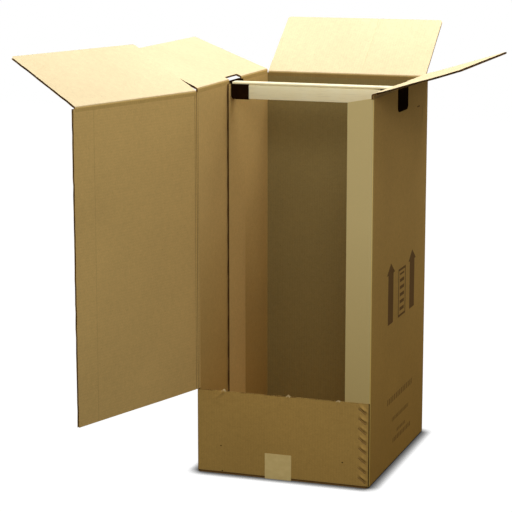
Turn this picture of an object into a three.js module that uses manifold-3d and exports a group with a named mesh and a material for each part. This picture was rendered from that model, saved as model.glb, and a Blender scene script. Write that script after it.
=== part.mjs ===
// Wardrobe moving box: a tall corrugated carton with a full-width front door, four open top
// flaps and a hanging bar on two hooks. Millimetres, +Z up, front of the box towards -Y,
// origin on the ground under the middle of the carton.

import * as THREE from 'three';
import { mergeVertices } from 'three/addons/utils/BufferGeometryUtils.js';
import Module from 'manifold-3d';

const wasm = await Module();
wasm.setup();

// Carton board and outside sizes
const WIDTH = 508;
const DEPTH = 610;
const OUTER_CREASE = 1097;
const BOARD = 6;
const FOLD_RADIUS = 7;
const STRIP_HEIGHT = 243;
const FLANGE_WIDTH = 72;
const FLANGE_SLOPE = 13;

// Flaps, measured from the outside face of the wall that carries them
const SIDE_FLAP = 253.25;
const END_FLAP = 254;
const BOTTOM_FLAP = 253.5;
const BOTTOM_FLAP_SETBACK = 1.5;
const FLAP_CORNER = 9;
const SIDE_FLAP_RELIEF = 76;

// Rest angles: flaps above the horizontal, door from closed, in degrees
const DOOR_ANGLE = 108;
const DOOR_FLAP_ANGLE = 27.5;
const LEFT_FLAP_ANGLE = 21.5;
const BACK_FLAP_ANGLE = 37;
const RIGHT_FLAP_ANGLE = 17;

// Gaps
const LAYER_GAP = 0.25;
const TURN_GAP = 0.3;
const DOOR_GAP = 1.5;
const SLOT_GAP = 1;
const CREASE_BEVEL = 3.5;
const END_FLAP_SIDE_GAP = 2;

// How far a cut runs past a face, or a shape into the one it joins
const CUT_SPARE = 1;

// Hanging bar: a painted channel with a top rail, its face towards the door. Its top lies
// a little below the crease of the side flaps.
const BAR_FRONT = -46.5;
const BAR_DEPTH = 26;
const BAR_DROP = 4;
const RAIL_HEIGHT = 6.5;
const RAIL_DEPTH = 34;
const GROOVE_HEIGHT = 2;
const GROOVE_DEPTH = 3;
const BAR_HEIGHT = 48.5;

// Bar hooks: sockets inside, saddles over the side walls, legs outside
const SOCKET_WALL = 1.5;
const LEFT_SOCKET_LENGTH = 54;
const RIGHT_SOCKET_LENGTH = 38;
const SOCKET_END = 9;
const SOCKET_CHAMFER = 7;
const HOOK_PLATE = 3;
const HOOK_WIDTH = 104;
const HOOK_MIDDLE = 8;
const HOOK_LEG = 71;
const HOOK_LEG_CORNER = 14;
const HOOK_LIP = 12;
const HOOK_NOTCH_GAP = 1;
const FLAP_NOTCH = 14;

// Board strips that carry the hooks down to the bottom
const SUPPORT_WIDTH = 142;
const SUPPORT_MIDDLE = 5;

// Paper tape along the bottom seam
const TAPE_WIDTH = 78;
const TAPE_THICKNESS = 0.5;
const TAPE_TAB = 74;
const TAPE_MIDDLE = -11;

// Wire stitches through the front strip and the flange behind it
const STITCH_COUNT = 8;
const STITCH_FIRST_HEIGHT = 23;
const STITCH_TOP_MARGIN = 22.6;
const STITCH_INSET = 20;
const STITCH_LENGTH = 28;
const STITCH_ANGLE = 37;
const WIRE_WIDTH = 2;
const WIRE_THICKNESS = 0.8;
const CLINCH_LENGTH = 7;

// Derived places
const halfWidth = WIDTH / 2;
const halfDepth = DEPTH / 2;
const halfBoard = BOARD / 2;
const ground = TAPE_THICKNESS;
const innerX = halfWidth - BOARD;
const innerY = halfDepth - BOARD;
const sideAxisX = halfWidth - halfBoard;
const endAxisY = halfDepth - halfBoard;
const endCrease = OUTER_CREASE - BOARD - LAYER_GAP - TURN_GAP;
const sideWallTop = OUTER_CREASE - halfBoard - TURN_GAP;
const endWallTop = endCrease - halfBoard - TURN_GAP;
const outerFlapTop = ground + BOARD;
const innerFlapBottom = outerFlapTop + LAYER_GAP;
const innerFlapTop = innerFlapBottom + BOARD;
const flangeFront = -innerY + LAYER_GAP;
const flangeBack = flangeFront + BOARD;
const doorPlaneBack = -innerY + LAYER_GAP / 2;
const saddleTop = sideWallTop - SLOT_GAP + TURN_GAP;
const saddleSeat = saddleTop - HOOK_PLATE;
const supportTop = endWallTop - TURN_GAP;
const barTop = OUTER_CREASE - BAR_DROP;
const stitchLastHeight = STRIP_HEIGHT - STITCH_TOP_MARGIN;
const stitchPitch = (stitchLastHeight - STITCH_FIRST_HEIGHT) / (STITCH_COUNT - 1);
const supportFace = innerX - BOARD;
const hookFront = HOOK_MIDDLE - HOOK_WIDTH / 2;
const hookBack = HOOK_MIDDLE + HOOK_WIDTH / 2;
const socketTop = barTop - RAIL_HEIGHT - TURN_GAP;
const barFaceTop = barTop - RAIL_HEIGHT - GROOVE_HEIGHT;
const barBottom = barTop - BAR_HEIGHT;

function rad(degrees) {
  return degrees * Math.PI / 180;
}

// Geometry helpers

function block(x0, x1, y0, y1, z0, z1) {
  const geometry = new THREE.BoxGeometry(x1 - x0, y1 - y0, z1 - z0);
  return geometry.translate((x0 + x1) / 2, (y0 + y1) / 2, (z0 + z1) / 2);
}

// A block given for the right side of the box, or mirrored to the left side
function sideBlock(side, x0, x1, y0, y1, z0, z1) {
  const x = [side * x0, side * x1];
  return block(Math.min(...x), Math.max(...x), y0, y1, z0, z1);
}

function prism(shape, bottom, top) {
  const geometry = new THREE.ExtrudeGeometry(shape, {
    depth: top - bottom,
    bevelEnabled: false,
    curveSegments: 5,
  });
  return geometry.translate(0, 0, bottom);
}

// A prism whose outline is drawn in Y and Z and which runs along X
function prismAlongX(shape, x0, x1) {
  const geometry = prism(shape, x0, x1);
  const turn = new THREE.Matrix4().makeBasis(
    new THREE.Vector3(0, 1, 0), new THREE.Vector3(0, 0, 1), new THREE.Vector3(1, 0, 0));
  return geometry.applyMatrix4(turn);
}

// A prism whose outline is drawn in X and Z and which runs along Y
function prismAlongY(shape, y0, y1) {
  const geometry = prism(shape, -y1, -y0);
  return geometry.rotateX(Math.PI / 2);
}

function solid(geometry) {
  const plain = geometry.clone();
  plain.deleteAttribute('normal');
  plain.deleteAttribute('uv');
  plain.clearGroups();
  const merged = mergeVertices(plain, 1e-5);
  const mesh = new wasm.Mesh({
    numProp: 3,
    vertProperties: new Float32Array(merged.attributes.position.array),
    triVerts: new Uint32Array(merged.index.array),
  });
  return new wasm.Manifold(mesh);
}

// A wedge that bevels the outer top edge of a wall. It is drawn for a wall whose outside is
// at x = outside and whose top is at z = top, and runs along Y.
function creaseWedge(outside, top, y0, y1) {
  return prismAlongY(polygon([
    [outside + CUT_SPARE, top - CREASE_BEVEL - CUT_SPARE],
    [outside + CUT_SPARE, top + CUT_SPARE],
    [outside - CREASE_BEVEL - CUT_SPARE, top + CUT_SPARE],
  ]), y0, y1);
}

function union(geometries) {
  return geometries.map(solid).reduce((sum, part) => sum.add(part));
}

function cut(body, geometries) {
  return geometries.map(solid).reduce((rest, part) => rest.subtract(part), body);
}

function geometryOf(body) {
  const mesh = body.getMesh();
  const geometry = new THREE.BufferGeometry();
  geometry.setAttribute('position', new THREE.BufferAttribute(mesh.vertProperties, 3));
  geometry.setIndex(new THREE.BufferAttribute(mesh.triVerts, 1));
  geometry.computeVertexNormals();
  return geometry;
}

function polygon(points) {
  return new THREE.Shape(points.map(([x, y]) => new THREE.Vector2(x, y)));
}

// Materials

const kraft = { color: 0xb08a52, roughness: 0.9, metalness: 0 };
const kraftLight = { color: 0xc9a76e, roughness: 0.9, metalness: 0 };
const cream = { color: 0xe6dcc0, roughness: 0.5, metalness: 0 };
const blackPlastic = { color: 0x15120f, roughness: 0.35, metalness: 0 };
const tapePaper = { color: 0xb8935c, roughness: 0.7, metalness: 0 };
const wire = { color: 0x8a7a5c, roughness: 0.4, metalness: 1 };

function piece(name, body, look) {
  const mesh = new THREE.Mesh(geometryOf(body), new THREE.MeshStandardMaterial(look));
  mesh.name = name;
  return mesh;
}

// Carton body: one folded blank. Its plan outline runs from the raw end of the front strip
// round the left, back and right walls to the free edge of the flange behind the strip.

function blankOutline() {
  const radius = FOLD_RADIUS;
  const flangeEdge = halfWidth - FLANGE_WIDTH;
  const shape = new THREE.Shape();
  shape.moveTo(halfWidth, -innerY);
  shape.lineTo(-innerX, -innerY);
  shape.lineTo(-innerX, innerY);
  shape.lineTo(innerX, innerY);
  shape.lineTo(innerX, flangeBack);
  shape.lineTo(flangeEdge, flangeBack);
  shape.lineTo(flangeEdge, flangeFront);
  shape.absarc(halfWidth - radius, flangeFront + radius, radius, -Math.PI / 2, 0, false);
  shape.absarc(halfWidth - radius, halfDepth - radius, radius, 0, Math.PI / 2, false);
  shape.absarc(-halfWidth + radius, halfDepth - radius, radius, Math.PI / 2, Math.PI, false);
  shape.absarc(-halfWidth + radius, -halfDepth + radius, radius, Math.PI, 1.5 * Math.PI, false);
  shape.lineTo(halfWidth, -halfDepth);
  shape.closePath();
  return shape;
}

function stitchPlace(index) {
  return [halfWidth - STITCH_INSET, STITCH_FIRST_HEIGHT + index * stitchPitch];
}

// The box that one leg of a stitch fills, grown by a gap on each side
function stitchLeg(side, gap, front, back) {
  const middle = side * (STITCH_LENGTH - WIRE_THICKNESS) / 2;
  const reachX = WIRE_THICKNESS / 2 + gap;
  const reachZ = WIRE_WIDTH / 2 + gap;
  return block(middle - reachX, middle + reachX, front, back, -reachZ, reachZ);
}

function stitchHoles() {
  const holes = [];
  for (let index = 0; index < STITCH_COUNT; index += 1) {
    const [x, z] = stitchPlace(index);
    for (const side of [-1, 1]) {
      const hole = stitchLeg(side, TURN_GAP, -halfDepth - CUT_SPARE, flangeBack + CUT_SPARE);
      hole.rotateY(rad(STITCH_ANGLE));
      holes.push(hole.translate(x, 0, z));
    }
  }
  return holes;
}

function cartonBody() {
  const beyond = WIDTH;
  const tall = OUTER_CREASE + BOARD;
  const flangeEdge = halfWidth - FLANGE_WIDTH;
  const endFlapReach = innerX - END_FLAP_SIDE_GAP;
  const walls = [prism(blankOutline(), ground, sideWallTop)];
  const column = innerX + SLOT_GAP;
  const flangeTop = polygon([
    [flangeEdge - CUT_SPARE, endWallTop - FLANGE_SLOPE],
    [column, endWallTop - SLOT_GAP],
    [column, tall],
    [flangeEdge - CUT_SPARE, tall],
  ]);
  const notch = (side) => sideBlock(
    side, supportFace - CUT_SPARE, halfWidth + CUT_SPARE,
    hookFront - TURN_GAP, hookBack + TURN_GAP, saddleSeat, tall);
  const shaped = cut(union(walls), [
    block(-beyond, beyond, -halfDepth - CUT_SPARE, doorPlaneBack, STRIP_HEIGHT, tall),
    block(-beyond, beyond, innerY - LAYER_GAP, halfDepth + CUT_SPARE, endWallTop, tall),
    block(-column, halfWidth + CUT_SPARE, -halfDepth - CUT_SPARE, doorPlaneBack, 0, innerFlapBottom),
    block(-column, column, innerY - LAYER_GAP, halfDepth + CUT_SPARE, 0, innerFlapBottom),
    block(flangeEdge - CUT_SPARE, column, doorPlaneBack, flangeBack + CUT_SPARE,
      0, innerFlapTop + LAYER_GAP),
    prismAlongY(flangeTop, flangeFront - LAYER_GAP / 2, flangeBack + CUT_SPARE),
    notch(-1),
    notch(1),
    creaseWedge(halfWidth, sideWallTop, -beyond, beyond),
    creaseWedge(halfWidth, sideWallTop, -beyond, beyond).rotateZ(Math.PI),
    creaseWedge(halfDepth, endWallTop, -beyond, beyond).rotateZ(Math.PI / 2),
  ]);
  const seam = halfWidth - BOTTOM_FLAP;
  const flapEnd = halfDepth - BOTTOM_FLAP_SETBACK;
  const bottomFlaps = [
    block(-sideAxisX, -seam, -flapEnd, flapEnd, ground, outerFlapTop),
    block(seam, sideAxisX, -flapEnd, flapEnd, ground, outerFlapTop),
    block(-endFlapReach, endFlapReach, -endAxisY, -halfDepth + END_FLAP,
      innerFlapBottom, innerFlapTop),
    block(-endFlapReach, endFlapReach, halfDepth - END_FLAP, endAxisY,
      innerFlapBottom, innerFlapTop),
  ];
  const folded = bottomFlaps.map(solid).reduce((sum, part) => sum.add(part), shaped);
  return cut(folded, stitchHoles());
}

// Panels that turn about a crease. The hinge roll has the board's thickness and lies along
// the local X axis, and the panel leaves it along local +Y.

function roll(x0, x1) {
  const geometry = new THREE.CylinderGeometry(halfBoard, halfBoard, x1 - x0, 16);
  geometry.rotateZ(Math.PI / 2);
  return geometry.translate((x0 + x1) / 2, 0, 0);
}

// relief is how far the side at x0 leans in at the free edge
function flapOutline(x0, x1, length, relief) {
  const lean = Math.atan2(relief, length);
  const reach = FLAP_CORNER / Math.tan((Math.PI / 2 + lean) / 2);
  const shape = new THREE.Shape();
  shape.moveTo(x0, 0);
  shape.lineTo(x1, 0);
  shape.lineTo(x1, length - FLAP_CORNER);
  shape.absarc(x1 - FLAP_CORNER, length - FLAP_CORNER, FLAP_CORNER, 0, Math.PI / 2, false);
  shape.lineTo(x0 + relief + reach, length);
  shape.absarc(x0 + relief + reach, length - FLAP_CORNER, FLAP_CORNER,
    Math.PI / 2, Math.PI - lean, false);
  shape.closePath();
  return shape;
}

function flap(x0, x1, length, relief) {
  return union([
    prism(flapOutline(x0, x1, length, relief), -halfBoard, halfBoard),
    roll(x0, x1),
  ]);
}

// The notch in a side flap lets the hook's saddle through the crease
function sideFlap(x0, x1, relief, hookSide) {
  const clear = HOOK_NOTCH_GAP + TURN_GAP;
  const notchEnds = [hookSide * (hookFront - clear), hookSide * (hookBack + clear)];
  const notch = block(
    Math.min(...notchEnds), Math.max(...notchEnds), -BOARD, FLAP_NOTCH, -BOARD, BOARD);
  return cut(flap(x0, x1, SIDE_FLAP - halfBoard, relief), [notch]);
}

// Places a panel with its hinge at (x, y, z), facing the heading and raised from the horizontal
function hinged(mesh, x, y, z, heading, rise) {
  const crease = new THREE.Group();
  const tilt = new THREE.Group();
  crease.position.set(x, y, z);
  crease.rotation.z = rad(heading);
  tilt.rotation.x = rad(rise);
  tilt.add(mesh);
  crease.add(tilt);
  return crease;
}

// Hanging bar

function hangingBar() {
  const back = BAR_FRONT + BAR_DEPTH;
  const groove = BAR_FRONT + GROOVE_DEPTH;
  const railFront = BAR_FRONT - TURN_GAP;
  const railBottom = barTop - RAIL_HEIGHT;
  const railEdge = 2;
  const barEnd = supportFace - SOCKET_END - TURN_GAP;
  const railEnd = supportFace - HOOK_PLATE - 2 * TURN_GAP;
  const face = polygon([
    [BAR_FRONT, barBottom],
    [back, barBottom],
    [back, barFaceTop],
    [BAR_FRONT, barFaceTop],
  ]);
  const web = polygon([
    [groove, barFaceTop - CUT_SPARE],
    [back - GROOVE_DEPTH, barFaceTop - CUT_SPARE],
    [back - GROOVE_DEPTH, railBottom + CUT_SPARE],
    [groove, railBottom + CUT_SPARE],
  ]);
  const rail = polygon([
    [railFront, railBottom],
    [railFront + RAIL_DEPTH, railBottom],
    [railFront + RAIL_DEPTH, barTop - railEdge],
    [railFront + RAIL_DEPTH - railEdge, barTop],
    [railFront + railEdge, barTop],
    [railFront, barTop - railEdge],
  ]);
  const webEnd = supportFace - Math.max(LEFT_SOCKET_LENGTH, RIGHT_SOCKET_LENGTH) - TURN_GAP;
  return union([
    prismAlongX(face, -barEnd, barEnd),
    prismAlongX(web, -webEnd, webEnd),
    prismAlongX(rail, -railEnd, railEnd),
  ]);
}

// Bar hook, drawn for the right wall and mirrored for the left

function barHook(side, socketLength) {
  const socketFront = BAR_FRONT - SOCKET_WALL - TURN_GAP;
  const socketBack = BAR_FRONT + BAR_DEPTH + SOCKET_WALL + TURN_GAP;
  const socketBottom = barBottom - SOCKET_WALL - TURN_GAP;
  const inner = supportFace - socketLength;
  const face = supportFace - TURN_GAP;
  const legInside = halfWidth + TURN_GAP;
  const legOutside = legInside + HOOK_PLATE;
  const endFlapEdge = halfDepth - END_FLAP;
  const socket = polygon([
    [inner, socketBottom],
    [face - SOCKET_CHAMFER, socketBottom],
    [face, socketBottom + SOCKET_CHAMFER],
    [face, socketTop],
    [inner, socketTop],
  ]);
  const saddle = polygon([
    [face - HOOK_PLATE, hookFront],
    [legOutside, hookFront],
    [legOutside, hookBack],
    [innerX, hookBack],
    [innerX, endFlapEdge - SLOT_GAP],
    [face - HOOK_PLATE, endFlapEdge - SLOT_GAP],
  ]);
  const legTop = saddleTop;
  const legBottom = legTop - HOOK_LEG;
  const leg = new THREE.Shape();
  leg.moveTo(hookBack, legTop);
  leg.lineTo(hookFront, legTop);
  leg.absarc(hookFront + HOOK_LEG_CORNER, legBottom + HOOK_LEG_CORNER, HOOK_LEG_CORNER,
    Math.PI, 1.5 * Math.PI, false);
  leg.absarc(hookBack - HOOK_LEG_CORNER, legBottom + HOOK_LEG_CORNER, HOOK_LEG_CORNER,
    -Math.PI / 2, 0, false);
  leg.closePath();
  const whole = union([
    prismAlongY(socket, socketFront, socketBack),
    block(face - HOOK_PLATE, face, socketFront, socketBack, socketTop - CUT_SPARE, saddleTop),
    block(face - HOOK_PLATE, face, hookFront, endFlapEdge - SLOT_GAP,
      saddleTop - HOOK_LIP, saddleTop),
    prism(saddle, saddleSeat, saddleTop),
    prismAlongX(leg, legInside, legOutside),
  ]);
  const pocket = block(
    inner - CUT_SPARE, supportFace - SOCKET_END,
    BAR_FRONT - TURN_GAP, BAR_FRONT + BAR_DEPTH + TURN_GAP,
    barBottom - TURN_GAP, barFaceTop + TURN_GAP);
  const hook = cut(whole, [pocket]);
  return side > 0 ? hook : hook.mirror([1, 0, 0]);
}

function barSupport(side) {
  const front = SUPPORT_MIDDLE - SUPPORT_WIDTH / 2;
  const back = SUPPORT_MIDDLE + SUPPORT_WIDTH / 2;
  return solid(sideBlock(side, supportFace, innerX, front, back, innerFlapTop, supportTop));
}

// Tape: one strip under the bottom seam with an end turned up the front and the back

function bottomTape() {
  const x0 = TAPE_MIDDLE - TAPE_WIDTH / 2;
  const x1 = TAPE_MIDDLE + TAPE_WIDTH / 2;
  const outside = halfDepth + TAPE_THICKNESS;
  return union([
    block(x0, x1, -outside, outside, 0, TAPE_THICKNESS),
    block(x0, x1, -outside, -halfDepth, 0, TAPE_TAB),
    block(x0, x1, halfDepth, outside, 0, TAPE_TAB),
  ]);
}

// Wire stitch: crown outside the strip, legs through both boards, ends clinched behind

function stitch() {
  const crownBack = -halfDepth - TURN_GAP;
  const crownFront = crownBack - WIRE_THICKNESS;
  const clinchFront = flangeBack + TURN_GAP;
  const clinchBack = clinchFront + WIRE_THICKNESS;
  const reach = STITCH_LENGTH / 2;
  const half = WIRE_WIDTH / 2;
  return union([
    block(-reach, reach, crownFront, crownBack, -half, half),
    stitchLeg(-1, 0, crownFront, clinchBack),
    stitchLeg(1, 0, crownFront, clinchBack),
    block(-reach, -reach + CLINCH_LENGTH, clinchFront, clinchBack, -half, half),
    block(reach - CLINCH_LENGTH, reach, clinchFront, clinchBack, -half, half),
  ]);
}

// Assembly

const box = new THREE.Group();
box.add(piece('carton_body', cartonBody(), kraft));
box.add(piece('bottom_tape', bottomTape(), tapePaper));
box.add(piece('left_bar_support', barSupport(-1), kraft));
box.add(piece('right_bar_support', barSupport(1), kraft));
box.add(piece('hanging_bar', hangingBar(), cream));
box.add(piece('left_bar_hook', barHook(-1, LEFT_SOCKET_LENGTH), blackPlastic));
box.add(piece('right_bar_hook', barHook(1, RIGHT_SOCKET_LENGTH), blackPlastic));

for (let index = 0; index < STITCH_COUNT; index += 1) {
  const [x, z] = stitchPlace(index);
  const mesh = piece(`wire_stitch_${index + 1}`, stitch(), wire);
  mesh.position.set(x, 0, z);
  mesh.rotation.y = rad(STITCH_ANGLE);
  box.add(mesh);
}

// The door turns about the front left crease. Its panel leaves the roll along local +X.
const door = new THREE.Group();
door.position.set(-sideAxisX, -endAxisY, 0);
door.rotation.z = -rad(DOOR_ANGLE);
const doorRoll = new THREE.CylinderGeometry(
  halfBoard, halfBoard, endWallTop - STRIP_HEIGHT - DOOR_GAP, 16);
doorRoll.rotateX(Math.PI / 2);
doorRoll.translate(0, 0, (endWallTop + STRIP_HEIGHT + DOOR_GAP) / 2);
const doorPlate = prismAlongX(polygon([
  [-halfBoard, STRIP_HEIGHT + DOOR_GAP],
  [halfBoard, STRIP_HEIGHT + DOOR_GAP],
  [halfBoard, endWallTop],
  [-halfBoard + CREASE_BEVEL, endWallTop],
  [-halfBoard, endWallTop - CREASE_BEVEL],
]), 0, sideAxisX + halfWidth);
door.add(piece('door_panel', union([doorPlate, doorRoll]), kraftLight));

const endFlapHalf = innerX - END_FLAP_SIDE_GAP;
const endFlapLength = END_FLAP - halfBoard;
door.add(hinged(
  piece('door_top_flap', flap(-endFlapHalf, endFlapHalf, endFlapLength, 0), kraftLight),
  sideAxisX, 0, endCrease, 180, DOOR_FLAP_ANGLE));
box.add(door);

box.add(hinged(
  piece('back_top_flap', flap(-endFlapHalf, endFlapHalf, endFlapLength, 0), kraftLight),
  0, endAxisY, endCrease, 0, BACK_FLAP_ANGLE));

const sideFlapHalf = innerY - SLOT_GAP;
box.add(hinged(
  piece('left_top_flap', sideFlap(-sideFlapHalf, sideFlapHalf, SIDE_FLAP_RELIEF, 1), kraftLight),
  -sideAxisX, 0, OUTER_CREASE, 90, LEFT_FLAP_ANGLE));
box.add(hinged(
  piece('right_top_flap', sideFlap(-sideFlapHalf, sideFlapHalf, 0, -1), kraftLight),
  sideAxisX, 0, OUTER_CREASE, -90, RIGHT_FLAP_ANGLE));

export default box;
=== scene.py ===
"""Wardrobe moving box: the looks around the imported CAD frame."""

import math

import bmesh
import bpy
from bpy.props import FloatProperty, FloatVectorProperty, PointerProperty
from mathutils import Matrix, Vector, noise


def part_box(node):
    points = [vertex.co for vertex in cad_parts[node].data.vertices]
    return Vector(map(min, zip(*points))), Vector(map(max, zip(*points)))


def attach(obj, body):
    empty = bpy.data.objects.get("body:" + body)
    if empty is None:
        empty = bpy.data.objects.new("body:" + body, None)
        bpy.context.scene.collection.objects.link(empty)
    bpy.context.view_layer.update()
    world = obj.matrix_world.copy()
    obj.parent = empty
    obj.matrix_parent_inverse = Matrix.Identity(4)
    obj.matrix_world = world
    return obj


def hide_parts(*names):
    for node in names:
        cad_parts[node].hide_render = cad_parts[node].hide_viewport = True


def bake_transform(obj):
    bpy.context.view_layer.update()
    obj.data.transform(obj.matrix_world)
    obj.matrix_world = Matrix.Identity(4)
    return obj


bl_info = {
    "name": "Wardrobe moving box",
    "version": (1, 0, 0),
    "blender": (4, 5, 0),
    "location": "View3D > Sidebar > Wardrobe box",
    "description": "Corrugated wardrobe carton with a hinged door, top flaps and a hanging bar",
    "category": "Object",
}

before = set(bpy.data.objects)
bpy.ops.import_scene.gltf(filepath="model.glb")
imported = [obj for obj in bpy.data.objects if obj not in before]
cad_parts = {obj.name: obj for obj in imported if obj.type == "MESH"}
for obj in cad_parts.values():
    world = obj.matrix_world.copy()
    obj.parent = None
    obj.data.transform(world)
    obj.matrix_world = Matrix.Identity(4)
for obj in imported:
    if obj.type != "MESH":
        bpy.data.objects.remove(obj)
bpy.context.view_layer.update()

# Places that come from the frame, in metres
WALL_X = 0.254
WALL_Y = 0.305
BOARD = 0.006
HALF = BOARD / 2
MID_X = WALL_X - HALF
MID_Y = WALL_Y - HALF
GROUND = 0.0005
SIDE_CREASE = 1.097
END_CREASE = 1.09045
SIDE_WALL_TOP = 1.0937
END_WALL_TOP = 1.08715
STRIP_TOP = 0.243
DOOR_BOTTOM = 0.2445
LAYER = 0.00625

# How far below a crease the flap's own board takes over from the wall
BAND = 0.012

# The radius of the carton's corners, and how far a crease bends on each side of its line
BEND_RADIUS = 0.004
BEND_REACH = 0.0055

# Half the length of a crease on a side wall and on an end wall
SIDE_REACH = 0.2985
END_REACH = 0.2465

# Where the walls and the flange stop above the bottom flaps, and the slope of the flange's top
WALL_FOOT = 0.007
FLANGE_FOOT = 0.013
FLANGE_SLOPE = 0.185

# Where w lies on the inner liner, on the outer one, and how far the fluted core reaches
INNER_FACE = (0.002, 0.009)
OUTER_FACE = (-1, -0.0024)
CORE = 0.0024

# Along the front strip: tags left when the front was torn open, and small dark spots as (x, z)
NICKS = (-0.173, 0.018, 0.164)
DARK_SPOTS = ((-0.182, 0.083), (-0.178, 0.009), (0.178, 0.069))

# The wire stitches: their middle, the lowest one's height, their pitch and their slope
STITCH_X = 0.234
STITCH_LOWEST = 0.023
STITCH_PITCH = 0.0282
STITCH_SLOPE = math.radians(37)

# The lower end of the arrows and of the panel between them
PRINT_FOOT = 0.424

# The door's pressed lines along its crease, and an old faint score line, from the crease
HINGE_LINES = (-0.0050, 0.0030, 0.0100)
OLD_SCORE = 0.427


def linear(hex_colour):
    """An sRGB hex colour as linear RGBA."""
    values = []
    for start in (1, 3, 5):
        c = int(hex_colour[start:start + 2], 16) / 255
        values.append(c / 12.92 if c <= 0.04045 else ((c + 0.055) / 1.055) ** 2.4)
    return (*values, 1.0)


def colour_setting(name, description, default):
    """A colour that the user may change."""
    return FloatVectorProperty(name=name, description=description, subtype="COLOR", size=4,
                               default=linear(default), min=0, max=1)


def length_setting(name, description, default, low, high):
    """A length in metres that the user may change."""
    return FloatProperty(name=name, description=description, default=default, min=low, max=high,
                         unit="LENGTH")


class BoardSettings(bpy.types.PropertyGroup):
    """Sizes and colours of the corrugated board."""

    liner: length_setting(
        "Liner", "Thickness of each paper liner", 0.0005, 0.0002, 0.001)
    coarse_pitch: length_setting(
        "Coarse flute", "Pitch of the coarse flute", 0.0079, 0.005, 0.012)
    fine_pitch: length_setting(
        "Fine flute", "Pitch of the fine flute", 0.0063, 0.004, 0.01)
    recess: length_setting(
        "Open flute depth", "How deep one sees into a cut edge", 0.005, 0.002, 0.01)
    grid: length_setting(
        "Grid", "Spacing of the mesh lines on a board", 0.022, 0.01, 0.05)
    unevenness: length_setting(
        "Unevenness", "How far the board strays from flat", 0.0011, 0.0, 0.004)
    inner_colour: colour_setting("Inner liner", "Colour of the liner on the inside", "#CCAA68")
    outer_colour: colour_setting("Outer liner", "Colour of the liner on the outside", "#B59154")
    flute_colour: colour_setting("Flutes", "Colour of the fluted paper in the cut edges", "#5E4220")
    ink_colour: colour_setting("Ink", "Colour of the handling marks", "#4E2A0A")


class FittingSettings(bpy.types.PropertyGroup):
    """Sizes and colours of the bar, its hooks, the wire and the tape."""

    bar_bevel: length_setting(
        "Bar edge", "Radius of the folded steel edges", 0.0012, 0.0003, 0.003)
    hook_bevel: length_setting(
        "Hook edge", "Radius of the moulded edges", 0.0009, 0.0003, 0.002)
    bar_colour: colour_setting("Bar", "Colour of the bar's enamel", "#FFF7D0")
    hook_colour: colour_setting("Hook", "Colour of the moulded hooks", "#120B05")
    wire_colour: colour_setting("Wire", "Colour of the stitching wire", "#8E7040")
    tape_colour: colour_setting("Tape", "Colour of the paper tape", "#E8CE8A")


class StageSettings(bpy.types.PropertyGroup):
    """Light, floor and camera."""

    key_power: FloatProperty(
        name="Key", description="Power of the lamp overhead", default=57.0, min=0, max=500)
    fill_power: FloatProperty(
        name="Fill", description="Power of the lamp in front", default=50.0, min=0, max=500)
    world_strength: FloatProperty(
        name="World", description="Strength of the even light", default=0.37, min=0, max=2)
    lens: FloatProperty(
        name="Lens", description="Focal length in millimetres", default=134.75, min=20, max=300)


# Small tools for materials


MATH = "ShaderNodeMath"
NOISE = "ShaderNodeTexNoise"
MIX = "ShaderNodeMix"
SUBTRACT = {"operation": "SUBTRACT"}
MULTIPLY_ADD = {"operation": "MULTIPLY_ADD"}
MULTIPLY = {"operation": "MULTIPLY"}
POWER = {"operation": "POWER"}
SINE = {"operation": "SINE"}
ABSOLUTE = {"operation": "ABSOLUTE"}
MINIMUM = {"operation": "MINIMUM"}
MAXIMUM = {"operation": "MAXIMUM"}
COMPARE = {"operation": "COMPARE"}
LESS_THAN = {"operation": "LESS_THAN"}
GREATER_THAN = {"operation": "GREATER_THAN"}
BLEND = {"data_type": "RGBA"}
TINT = {"data_type": "RGBA", "blend_type": "MULTIPLY"}


def feed(tree, target, value):
    """Gives an input a value, or links it to a source. A node stands for its first output."""
    if isinstance(value, bpy.types.Node):
        value = next(output for output in value.outputs if output.enabled)
    if isinstance(value, bpy.types.NodeSocket):
        tree.links.new(value, target)
    else:
        target.default_value = value


def add_node(tree, kind, settings=None, links=None):
    """Adds a node. settings names its properties or inputs, links gives its inputs their sources,
    by name or number, or in order."""
    node = tree.nodes.new(kind)
    for key, value in (settings or {}).items():
        if key in node.inputs:
            node.inputs[key].default_value = value
        else:
            setattr(node, key, value)
    for key, value in (links.items() if isinstance(links, dict) else enumerate(links or ())):
        feed(tree, node.inputs[key], value)
    return node


def patch(tree, *ranges):
    """The mask of a patch: 1 where each source lies from its low to its high, else 0."""
    mask = None
    for source, low, high in ranges:
        inside = add_node(tree, MATH, COMPARE, (source, (low + high) / 2, (high - low) / 2))
        mask = inside if mask is None else add_node(tree, MATH, MULTIPLY, (mask, inside))
    return mask


def union(tree, masks):
    """The mask of all the masks together."""
    whole = masks[0]
    for mask in masks[1:]:
        whole = add_node(tree, MATH, MAXIMUM, (whole, mask))
    return whole


def lay(tree, ground, mask, amount, colour, how=BLEND):
    """Lays a colour on the ground where the mask is, or with TINT multiplies by it there."""
    share = add_node(tree, MATH, MULTIPLY, (mask, amount))
    return add_node(tree, MIX, how, {0: share, 6: ground, 7: colour})


def new_material(name):
    """A material with an empty tree, its output and its Principled shader."""
    material = bpy.data.materials.new(name)
    material.use_nodes = True
    tree = material.node_tree
    tree.nodes.clear()
    output = add_node(tree, "ShaderNodeOutputMaterial")
    shader = add_node(tree, "ShaderNodeBsdfPrincipled")
    feed(tree, output.inputs["Surface"], shader)
    return material, tree, shader


# Boards: a flat sheet is cut out, given its thickness and its open edges, and then folded


def cut_lines(low, high, step, extra):
    """Places of the mesh lines from low to high, with the extra ones kept."""
    count = max(1, round((high - low) / step))
    lines = [low + (high - low) * index / count for index in range(1, count)]
    near = step * 0.18
    lines = [line for line in lines if all(abs(line - other) > near for other in extra)]
    return sorted(lines + [line for line in extra if low < line < high])


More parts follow.
